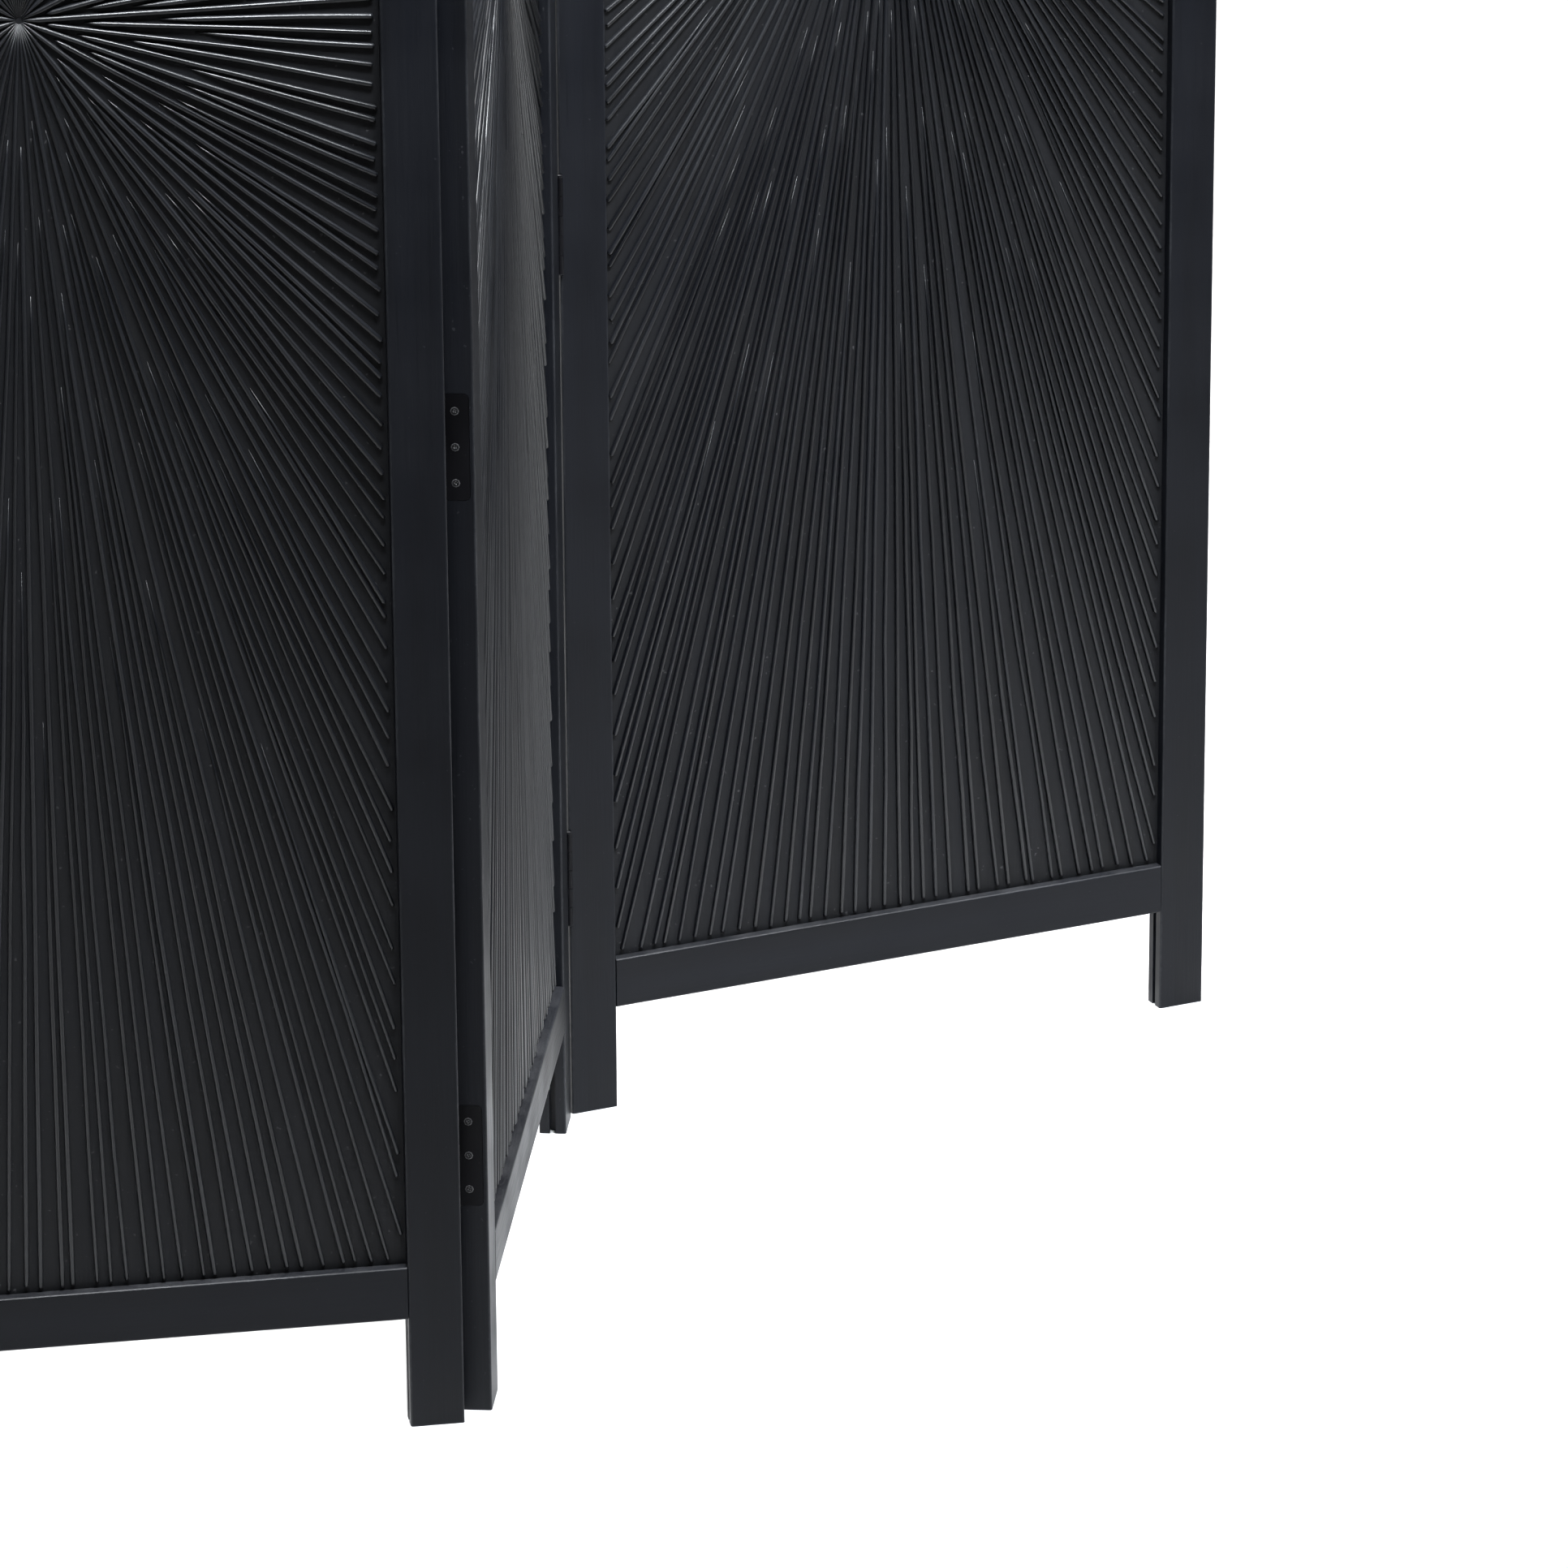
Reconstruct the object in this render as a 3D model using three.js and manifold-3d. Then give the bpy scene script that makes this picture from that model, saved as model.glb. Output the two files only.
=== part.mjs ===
// Folding room divider screen: three framed panels with a radiating "sunburst" of sticks on a
// backing board, joined in a zigzag by two upright rows of butt hinges let into the stile edges.
//
// Units are millimetres, +Z is up and the feet stand on z = 0. The origin is the middle of the
// footprint. The front of the screen looks towards -Y.
//
// Each panel is built in its own frame: x runs from its left edge to its right edge, y from its
// front face back into its thickness and z up from the floor.

import * as THREE from 'three';
import { mergeVertices } from 'three/addons/utils/BufferGeometryUtils.js';
import Module from 'manifold-3d';

const wasm = await Module();
wasm.setup();

// ---- Driving dimensions ----------------------------------------------------------------------

// Panel frame
const PANEL_HEIGHT = 1700;
const PANEL_WIDTH = 475;
const FRAME_THICKNESS = 18;
const STILE_WIDTH = 33;
const RAIL_HEIGHT = 34;
const LEG_LENGTH = 71;
const ARRIS_RADIUS = 1.4;
const ARRIS_STEPS = 3;

// Groove down the inner edge of every frame member, and what it holds
const BOARD_THICKNESS = 3.4;
const GROOVE_DEPTH = 6;
const BOARD_EDGE_GAP = 1;

// Sunburst
const STICK_THICKNESS = 4.2;
const STICK_PITCH = 18;
const STICK_END_GAP = 3.5;
const STICK_VALLEY = 2.6;

// Hinges
const HINGES_PER_JOINT = 4;
const LOWEST_HINGE_HEIGHT = 168;
const HIGHEST_HINGE_INSET = 191;
const LEAF_LENGTH = 65;
const LEAF_WIDTH = 15;
const LEAF_THICKNESS = 1.2;
const LEAF_CORNER_RADIUS = 3;
const KNUCKLE_COUNT = 5;
const KNUCKLE_RADIUS = 2;
const KNUCKLE_GAP = 0.4;
const PIN_TO_FACE = 1;
const PIN_RADIUS = 0.9;
const PIN_HEAD_RADIUS = 1.7;
const PIN_HEAD_HEIGHT = 1;
const SCREWS_PER_LEAF = 3;
const SCREW_SPACING = 22;
const SCREW_INSET = 6.7;
const SCREW_HOLE_RADIUS = 1.5;
const SCREW_HEAD_RADIUS = 2.6;

// Rest pose: the way each panel faces, turned anticlockwise seen from above
const LEFT_PANEL_TURN = 0;
const MIDDLE_PANEL_TURN = 75;
const RIGHT_PANEL_TURN = 14.5;

// Clearances
const FIT_GAP = 0.3;
const EDGE_GAP = 0.8;

// Roundness of small turned shapes
const BARREL_SIDES = 12;
const HOLE_SIDES = 8;

// ---- Values that follow ----------------------------------------------------------------------

const GROOVE_WIDTH = BOARD_THICKNESS + 2 * FIT_GAP;
const BOARD_FRONT = (FRAME_THICKNESS - BOARD_THICKNESS) / 2;
const LEAF_FACE = EDGE_GAP / 2;
const BORE_RADIUS = PIN_RADIUS + FIT_GAP;
const BARREL_ROOM_RADIUS = KNUCKLE_RADIUS + FIT_GAP;
const OPENING_BOTTOM = LEG_LENGTH + RAIL_HEIGHT;
const OPENING_TOP = PANEL_HEIGHT - RAIL_HEIGHT;

// ---- Finishes --------------------------------------------------------------------------------

const framePaint = new THREE.MeshStandardMaterial({ color: 0x26282c, roughness: 0.5, metalness: 0 });
const stickPaint = new THREE.MeshStandardMaterial({ color: 0x2a2c31, roughness: 0.38, metalness: 0 });
const boardPaint = new THREE.MeshStandardMaterial({ color: 0x17181a, roughness: 0.7, metalness: 0 });
const hingePaint = new THREE.MeshStandardMaterial({ color: 0x141517, roughness: 0.45, metalness: 0.4 });

// ---- Solids ----------------------------------------------------------------------------------

/** Turns a closed three.js geometry into a solid that can be joined and cut. */
function solidFrom(geometry) {
  const plain = geometry.index ? geometry.toNonIndexed() : geometry.clone();
  plain.deleteAttribute('normal');
  plain.deleteAttribute('uv');
  const merged = mergeVertices(plain, 1e-4);
  return new wasm.Manifold(new wasm.Mesh({
    numProp: 3,
    vertProperties: new Float32Array(merged.attributes.position.array),
    triVerts: new Uint32Array(merged.index.array),
  }));
}

/** Turns a solid back into a geometry that a mesh can show. */
function geometryFrom(solid) {
  const mesh = solid.getMesh();
  const geometry = new THREE.BufferGeometry();
  const points = new Float32Array(mesh.vertProperties);
  geometry.setAttribute('position', new THREE.BufferAttribute(points, 3));
  geometry.setIndex(new THREE.BufferAttribute(new Uint32Array(mesh.triVerts), 1));
  geometry.computeVertexNormals();
  return geometry;
}

/** A box between two corners. */
function boxBetween(low, high) {
  const size = high.map((value, i) => value - low[i]);
  const middle = high.map((value, i) => (value + low[i]) / 2);
  return new THREE.BoxGeometry(...size).translate(...middle);
}

/** A round bar, or a cone when the two radii differ, standing on z = bottom. */
function uprightBar(radiusBottom, radiusTop, bottom, top, sides) {
  const bar = new THREE.CylinderGeometry(radiusTop, radiusBottom, top - bottom, sides);
  return bar.rotateX(Math.PI / 2).translate(0, 0, (top + bottom) / 2);
}

/** Extrudes an outline drawn in (y, z) along +X from x = 0. */
function extrudeAlongX(shape, length) {
  const turned = new THREE.Matrix4().makeBasis(
    new THREE.Vector3(0, 1, 0),
    new THREE.Vector3(0, 0, 1),
    new THREE.Vector3(1, 0, 0),
  );
  const options = { depth: length, bevelEnabled: false };
  return new THREE.ExtrudeGeometry(shape, options).applyMatrix4(turned);
}

/** The points of a quarter-round arris of the given radius, centred on (cx, cy). */
function arris(cx, cy, radius, startAngle) {
  return Array.from({ length: ARRIS_STEPS + 1 }, (_, i) => {
    const angle = startAngle + (i / ARRIS_STEPS) * (Math.PI / 2);
    return new THREE.Vector2(cx + radius * Math.cos(angle), cy + radius * Math.sin(angle));
  });
}

/**
 * Section of a frame member, width by thickness, with eased arrises and the board groove in the
 * edge at full width. The groove is as deep as GROOVE_DEPTH, halfway through the thickness.
 */
function memberSection(width) {
  const r = ARRIS_RADIUS;
  const grooveLow = (FRAME_THICKNESS - GROOVE_WIDTH) / 2;
  const grooveHigh = grooveLow + GROOVE_WIDTH;
  return [
    ...arris(r, r, r, Math.PI),
    ...arris(width - r, r, r, 1.5 * Math.PI),
    new THREE.Vector2(width, grooveLow),
    new THREE.Vector2(width - GROOVE_DEPTH, grooveLow),
    new THREE.Vector2(width - GROOVE_DEPTH, grooveHigh),
    new THREE.Vector2(width, grooveHigh),
    ...arris(width - r, FRAME_THICKNESS - r, r, 0),
    ...arris(r, FRAME_THICKNESS - r, r, 0.5 * Math.PI),
  ];
}

// ---- Frame -----------------------------------------------------------------------------------

/** Heights of the hinge centres, from the lowest up. */
function hingeHeights() {
  const highest = PANEL_HEIGHT - HIGHEST_HINGE_INSET;
  const spacing = (highest - LOWEST_HINGE_HEIGHT) / (HINGES_PER_JOINT - 1);
  return Array.from({ length: HINGES_PER_JOINT }, (_, i) => LOWEST_HINGE_HEIGHT + i * spacing);
}

/**
 * A stile in the panel's frame. It is a full-height post whose lower end is the leg. hingeSide
 * is 'back' or 'front' where the hinge leaves are let into its outer edge from that face, and
 * null on a free edge.
 */
function stile(isRight, hingeSide) {
  const points = memberSection(STILE_WIDTH).map((p) => (
    isRight ? new THREE.Vector2(PANEL_WIDTH - p.x, FRAME_THICKNESS - p.y) : p
  ));
  const options = { depth: PANEL_HEIGHT, bevelEnabled: false };
  const post = new THREE.ExtrudeGeometry(new THREE.Shape(points), options);
  if (!hingeSide) return post;
  let solid = solidFrom(post);
  const recess = hingeRecess();
  for (const height of hingeHeights()) {
    const place = hingePlace(isRight, hingeSide, height);
    solid = solid.subtract(recess.transform(place.elements));
  }
  return geometryFrom(solid);
}

/** A rail between the stiles, with a stub tenon at each end that fills the stile's groove. */
function rail(isTop) {
  const shoulder = STILE_WIDTH + FIT_GAP;
  const length = PANEL_WIDTH - 2 * shoulder;
  const outline = memberSection(RAIL_HEIGHT).map((p) => new THREE.Vector2(
    isTop ? FRAME_THICKNESS - p.y : p.y,
    isTop ? PANEL_HEIGHT - p.x : LEG_LENGTH + p.x,
  ));
  const body = extrudeAlongX(new THREE.Shape(outline), length).translate(shoulder, 0, 0);
  const tongue = GROOVE_DEPTH - FIT_GAP;
  const outerEdge = isTop ? PANEL_HEIGHT - ARRIS_RADIUS : LEG_LENGTH + ARRIS_RADIUS;
  const innerEdge = isTop ? OPENING_TOP + GROOVE_DEPTH : OPENING_BOTTOM - GROOVE_DEPTH;
  const tenons = boxBetween(
    [STILE_WIDTH - tongue, BOARD_FRONT, Math.min(outerEdge, innerEdge)],
    [PANEL_WIDTH - STILE_WIDTH + tongue, BOARD_FRONT + BOARD_THICKNESS, Math.max(outerEdge, innerEdge)],
  );
  return geometryFrom(solidFrom(body).add(solidFrom(tenons)));
}

/** The thin board that the frame's grooves hold all round. */
function backingBoard() {
  const reach = GROOVE_DEPTH - BOARD_EDGE_GAP;
  return boxBetween(
    [STILE_WIDTH - reach, BOARD_FRONT, OPENING_BOTTOM - reach],
    [PANEL_WIDTH - STILE_WIDTH + reach, BOARD_FRONT + BOARD_THICKNESS, OPENING_TOP + reach],
  );
}

/** Points round the rim of the sunburst, two to a stick: the valley before it and its crest. */
function sunburstRim() {
  const left = STILE_WIDTH + STICK_END_GAP;
  const right = PANEL_WIDTH - left;
  const bottom = OPENING_BOTTOM + STICK_END_GAP;
  const top = OPENING_TOP - STICK_END_GAP;
  const corners = [[left, bottom], [right, bottom], [right, top], [left, top]];
  return corners.flatMap(([x0, z0], side) => {
    const [x1, z1] = corners[(side + 1) % corners.length];
    const sticks = Math.round(Math.hypot(x1 - x0, z1 - z0) / STICK_PITCH);
    return Array.from({ length: 2 * sticks }, (_, i) => ({
      x: x0 + (x1 - x0) * i / (2 * sticks),
      z: z0 + (z1 - z0) * i / (2 * sticks),
      isCrest: i % 2 === 1,
    }));
  });
}

/**
 * The sunburst of sticks as one fluted sheet on the front of the board. Crests and valleys run
 * straight from the middle of the panel to the rim.
 */
function sunburst() {
  const back = BOARD_FRONT - FIT_GAP;
  const crest = back - STICK_THICKNESS;
  const rim = sunburstRim();
  const count = rim.length;
  const middle = [PANEL_WIDTH / 2, (OPENING_BOTTOM + OPENING_TOP) / 2];
  const points = rim.flatMap((p) => [p.x, p.isCrest ? crest : crest + STICK_VALLEY, p.z]);
  points.push(...rim.flatMap((p) => [p.x, back, p.z]));
  points.push(middle[0], crest, middle[1]);
  points.push(middle[0], back, middle[1]);
  const frontMiddle = 2 * count;
  const backMiddle = frontMiddle + 1;
  const faces = rim.flatMap((_, i) => {
    const next = (i + 1) % count;
    return [
      frontMiddle, i, next,
      i, count + i, next,
      next, count + i, count + next,
      backMiddle, count + next, count + i,
    ];
  });
  const geometry = new THREE.BufferGeometry();
  geometry.setAttribute('position', new THREE.Float32BufferAttribute(points, 3));
  geometry.setIndex(faces);
  geometry.computeVertexNormals();
  return geometry;
}

// ---- Hinges ----------------------------------------------------------------------------------
//
// A hinge is drawn round its own pin, which stands on z with the hinge centred on z = 0. The
// leaf drawn here lies on the -X side with its screws' side towards +X, and its stile's face is
// at y = -PIN_TO_FACE. Half turns about one axis or another give the other three leaves.

/** Place of a hinge leaf on one edge of a panel: its pin stands clear of the given face. */
function hingePlace(isRight, hingeSide, height) {
  const x = isRight ? PANEL_WIDTH + LEAF_FACE : -LEAF_FACE;
  const y = hingeSide === 'back' ? FRAME_THICKNESS + PIN_TO_FACE : -PIN_TO_FACE;
  const turn = new THREE.Matrix4();
  if (hingeSide === 'back' && !isRight) turn.makeRotationY(Math.PI);
  if (hingeSide === 'front' && isRight) turn.makeRotationX(Math.PI);
  if (hingeSide === 'front' && !isRight) turn.makeRotationZ(Math.PI);
  return turn.premultiply(new THREE.Matrix4().makeTranslation(x, y, height));
}

/**
 * Flat plate of a leaf, with the two corners away from the pin rounded. A margin all round and
 * an overrun past the stile's edge and face make it the cutter for the plate's recess.
 */
function leafPlate(margin, open) {
  const half = LEAF_LENGTH / 2 + margin;
  const r = LEAF_CORNER_RADIUS + margin;
  const far = -PIN_TO_FACE - LEAF_WIDTH - margin;
  const near = -PIN_TO_FACE + open;
  const shape = new THREE.Shape([
    new THREE.Vector2(near, -half),
    new THREE.Vector2(near, half),
    ...arris(far + r, half - r, r, 0.5 * Math.PI),
    ...arris(far + r, -half + r, r, Math.PI),
  ]);
  const depth = LEAF_THICKNESS + margin + open;
  return extrudeAlongX(shape, depth).translate(-LEAF_FACE - LEAF_THICKNESS - margin, 0, 0);
}

/** What is cut from a stile for one leaf: the plate's recess and room for the barrel and head. */
function hingeRecess() {
  const reach = LEAF_LENGTH / 2 + PIN_HEAD_HEIGHT + 2 * FIT_GAP;
  const barrelRoom = uprightBar(BARREL_ROOM_RADIUS, BARREL_ROOM_RADIUS, -reach, reach, BARREL_SIDES);
  return solidFrom(leafPlate(FIT_GAP, PIN_TO_FACE)).add(solidFrom(barrelRoom));
}

/** Bottom and top of each knuckle along the pin. */
function knuckleSpans() {
  const pitch = (LEAF_LENGTH + KNUCKLE_GAP) / KNUCKLE_COUNT;
  return Array.from({ length: KNUCKLE_COUNT }, (_, i) => {
    const bottom = -LEAF_LENGTH / 2 + i * pitch;
    return [bottom, bottom + pitch - KNUCKLE_GAP];
  });
}

/**
 * A leaf with every second knuckle, starting from the first or the second. Between its own
 * knuckles the plate is cut back round the other leaf's.
 */
function hingeLeaf(firstKnuckle) {
  let leaf = solidFrom(leafPlate(0, 0));
  knuckleSpans().forEach(([bottom, top], i) => {
    if (i % 2 !== firstKnuckle) {
      const roomBottom = bottom - KNUCKLE_GAP;
      const roomTop = top + KNUCKLE_GAP;
      const room = uprightBar(BARREL_ROOM_RADIUS, BARREL_ROOM_RADIUS, roomBottom, roomTop, BARREL_SIDES);
      leaf = leaf.subtract(solidFrom(room));
      return;
    }
    const barrel = uprightBar(KNUCKLE_RADIUS, KNUCKLE_RADIUS, bottom, top, BARREL_SIDES);
    const neck = boxBetween(
      [-LEAF_FACE - LEAF_THICKNESS, -PIN_TO_FACE - LEAF_THICKNESS, bottom],
      [-LEAF_FACE, 0, top],
    );
    leaf = leaf.add(solidFrom(barrel)).add(solidFrom(neck));
  });
  const bore = uprightBar(BORE_RADIUS, BORE_RADIUS, -LEAF_LENGTH, LEAF_LENGTH, HOLE_SIDES);
  leaf = leaf.subtract(solidFrom(bore));
  const hole = solidFrom(screwHole());
  for (let i = 0; i < SCREWS_PER_LEAF; i += 1) {
    const height = (i - (SCREWS_PER_LEAF - 1) / 2) * SCREW_SPACING;
    leaf = leaf.subtract(hole.translate([0, 0, height]));
  }
  return geometryFrom(leaf);
}

/** A countersunk screw hole through the plate, at mid-height, as a turned cutter along X. */
function screwHole() {
  const reach = LEAF_THICKNESS;
  const sink = SCREW_HEAD_RADIUS - SCREW_HOLE_RADIUS;
  const profile = [
    [0, -reach - LEAF_THICKNESS],
    [SCREW_HOLE_RADIUS, -reach - LEAF_THICKNESS],
    [SCREW_HOLE_RADIUS, -sink],
    [SCREW_HEAD_RADIUS + reach, reach],
    [0, reach],
  ].map(([radius, along]) => new THREE.Vector2(radius, along));
  const cutter = new THREE.LatheGeometry(profile, HOLE_SIDES).rotateZ(-Math.PI / 2);
  return cutter.translate(-LEAF_FACE, -PIN_TO_FACE - SCREW_INSET, 0);
}

/** The pin, with a flat head resting over the top knuckle and a plain lower end. */
function hingePin() {
  const top = LEAF_LENGTH / 2;
  const head = top + FIT_GAP;
  const profile = [
    [0, -top],
    [PIN_RADIUS, -top],
    [PIN_RADIUS, head],
    [PIN_HEAD_RADIUS, head],
    [PIN_HEAD_RADIUS, head + PIN_HEAD_HEIGHT / 2],
    [PIN_RADIUS, head + PIN_HEAD_HEIGHT],
    [0, head + PIN_HEAD_HEIGHT],
  ].map(([radius, along]) => new THREE.Vector2(radius, along));
  return new THREE.LatheGeometry(profile, HOLE_SIDES).rotateX(Math.PI / 2);
}

// ---- Assembly --------------------------------------------------------------------------------

/** Adds a named mesh to a group. */
function addPart(group, name, geometry, material) {
  const mesh = new THREE.Mesh(geometry, material);
  mesh.name = name;
  group.add(mesh);
  return mesh;
}

/** One panel. leftHinge and rightHinge are the face that the pin is on, or null if free. */
function panel(name, leftHinge, rightHinge) {
  const group = new THREE.Group();
  addPart(group, `${name}_panel_left_stile`, stile(false, leftHinge), framePaint);
  addPart(group, `${name}_panel_right_stile`, stile(true, rightHinge), framePaint);
  addPart(group, `${name}_panel_top_rail`, rail(true), framePaint);
  addPart(group, `${name}_panel_bottom_rail`, rail(false), framePaint);
  addPart(group, `${name}_panel_backing_board`, backingBoard(), boardPaint);
  addPart(group, `${name}_panel_sunburst`, sunburst(), stickPaint);
  return group;
}

/** The hinges of one joint. Each leaf goes with the panel that it is screwed to. */
function addHinges(jointName, leftPanel, rightPanel, hingeSide) {
  hingeHeights().forEach((height, i) => {
    const name = `${jointName}_hinge_${i + 1}`;
    const left = addPart(leftPanel, `${name}_left_leaf`, hingeLeaf(0), hingePaint);
    left.applyMatrix4(hingePlace(true, hingeSide, height));
    const right = addPart(rightPanel, `${name}_right_leaf`, hingeLeaf(1), hingePaint);
    right.applyMatrix4(hingePlace(false, hingeSide, height));
    const pin = addPart(leftPanel, `${name}_pin`, hingePin(), hingePaint);
    pin.position.setFromMatrixPosition(left.matrix);
  });
}

/** Stands a panel in plan so that one of its own points comes to a given point of the floor. */
function standPanel(group, turnDegrees, ownPoint, floorPoint) {
  group.rotation.z = THREE.MathUtils.degToRad(turnDegrees);
  const moved = ownPoint.clone().applyEuler(group.rotation);
  group.position.copy(floorPoint).sub(moved);
  group.updateMatrix();
}

/** Where a panel's hinge line stands on the floor, in the panel's own frame. */
function hingeLine(isRight, hingeSide) {
  return new THREE.Vector3().setFromMatrixPosition(hingePlace(isRight, hingeSide, 0));
}

/** Middle of the footprint that an object covers. */
function footprintMiddle(object) {
  object.updateMatrixWorld(true);
  const box = new THREE.Box3().setFromObject(object, true);
  return box.getCenter(new THREE.Vector3()).setZ(0);
}

const leftPanel = panel('left', null, 'back');
const middlePanel = panel('middle', 'back', 'front');
const rightPanel = panel('right', 'front', null);
addHinges('left', leftPanel, middlePanel, 'back');
addHinges('right', middlePanel, rightPanel, 'front');

standPanel(leftPanel, LEFT_PANEL_TURN, new THREE.Vector3(), new THREE.Vector3());
const leftPin = hingeLine(true, 'back').applyMatrix4(leftPanel.matrix);
standPanel(middlePanel, MIDDLE_PANEL_TURN, hingeLine(false, 'back'), leftPin);
const rightPin = hingeLine(true, 'front').applyMatrix4(middlePanel.matrix);
standPanel(rightPanel, RIGHT_PANEL_TURN, hingeLine(false, 'front'), rightPin);

const screen = new THREE.Group();
screen.add(leftPanel, middlePanel, rightPanel);
screen.position.copy(footprintMiddle(screen)).negate();
screen.updateMatrixWorld(true);

export default screen;
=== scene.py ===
"""Finishes and fine parts of a black three-panel folding screen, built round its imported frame.

Every length is in metres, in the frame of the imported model: X to the right, Y away from the viewer and Z up.
"""

import logging  # noqa: E402
import math  # noqa: E402
from dataclasses import dataclass, field  # noqa: E402
from enum import Enum  # noqa: E402
from typing import ClassVar, Sequence  # noqa: E402

import bpy  # noqa: E402
import numpy as np  # noqa: E402
from mathutils import Matrix, Vector  # noqa: E402


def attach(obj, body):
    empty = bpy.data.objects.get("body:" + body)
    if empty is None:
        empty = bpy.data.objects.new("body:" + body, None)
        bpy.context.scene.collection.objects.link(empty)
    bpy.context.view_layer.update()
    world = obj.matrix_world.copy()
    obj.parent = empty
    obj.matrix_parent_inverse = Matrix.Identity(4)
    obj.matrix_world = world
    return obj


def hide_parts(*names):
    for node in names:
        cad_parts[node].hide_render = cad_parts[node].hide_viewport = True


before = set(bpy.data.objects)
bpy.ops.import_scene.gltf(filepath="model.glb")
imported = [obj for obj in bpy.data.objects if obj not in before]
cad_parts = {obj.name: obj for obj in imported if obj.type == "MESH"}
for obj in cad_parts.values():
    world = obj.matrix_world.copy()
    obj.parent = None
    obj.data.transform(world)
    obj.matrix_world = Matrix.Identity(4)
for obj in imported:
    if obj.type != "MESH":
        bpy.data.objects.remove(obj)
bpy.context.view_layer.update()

LOG = logging.getLogger("screen")
MM = 0.001
UPWARD = np.array([0.0, 0.0, 1.0])
Colour = tuple[float, float, float]
Triple = tuple[float, float, float]
VECTOR = "NodeSocketVector"
FLOAT = "NodeSocketFloat"


class Panel(Enum):
    """The three panels, from the viewer's left."""

    LEFT = "left"
    MIDDLE = "middle"
    RIGHT = "right"

    @property
    def body(self) -> str:
        """The CAD body that this panel's pieces ride on."""
        return f"{self.value}_panel"

    def node(self, part: str) -> str:
        """The CAD node of one part of this panel."""
        return f"{self.value}_panel_{part}"


class Member(Enum):
    """The four members of a panel's frame."""

    LEFT_STILE = "left_stile"
    RIGHT_STILE = "right_stile"
    TOP_RAIL = "top_rail"
    BOTTOM_RAIL = "bottom_rail"

    @property
    def upright(self) -> bool:
        """True for a stile, whose grain runs up the screen."""
        return self in (Member.LEFT_STILE, Member.RIGHT_STILE)


class Slot(Enum):
    """The names of the material slots."""

    FRAME = "frame_paint"
    STICKS = "stick_paint"
    BOARD = "board_paint"
    HINGES = "hinge_paint"


def node_points(name: str) -> np.ndarray:
    """Reads a CAD node's corners.

    Args:
        name: the node's name.

    Returns:
        One row of x, y, z for each corner.
    """
    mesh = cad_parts[name].data
    found = np.empty(len(mesh.vertices) * 3, np.float32)
    mesh.vertices.foreach_get("co", found)
    return found.reshape(-1, 3).astype(float)


def mesh_object(name: str, points: np.ndarray, faces: Sequence[Sequence[int]]) -> bpy.types.Object:
    """Puts worked-out points and faces into a new smooth-shaded object at the origin.

    Args:
        name: the piece's name.
        points: one row of x, y, z for each corner.
        faces: the corners of each face, in the order that makes it face outwards.

    Returns:
        The new object, linked to the scene.
    """
    mesh = bpy.data.meshes.new(name)
    mesh.from_pydata(points.tolist(), [], faces)
    mesh.polygons.foreach_set("use_smooth", np.ones(len(mesh.polygons), bool))
    mesh.update()
    made = bpy.data.objects.new(name, mesh)
    bpy.context.scene.collection.objects.link(made)
    return made


def tube_faces(tubes: int, rings: int, sides: int) -> list[list[int]]:
    """Faces of many closed tubes whose corners are numbered tube by tube, ring by ring.

    The corner after the last one of a ring is the ring's first, and the first and last ring are closed
    by one face each.

    Args:
        tubes: how many tubes there are.
        rings: the rings of corners along each tube.
        sides: the corners in each ring.

    Returns:
        The corners of every face, all facing outwards where a ring turns anticlockwise seen from its end.
    """
    tube, ring, side = np.meshgrid(
        np.arange(tubes), np.arange(rings - 1), np.arange(sides), indexing="ij"
    )
    after = (side + 1) % sides
    base = (tube * rings + ring) * sides
    walls = np.stack(
        [base + side, base + after, base + sides + after, base + sides + side], axis=-1
    ).reshape(-1, 4)
    start = (np.arange(tubes) * rings * sides)[:, None]
    turn = np.arange(sides)[None, :]
    first = start + turn[:, ::-1]
    last = start + (rings - 1) * sides + turn
    return walls.tolist() + first.tolist() + last.tolist()


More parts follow.
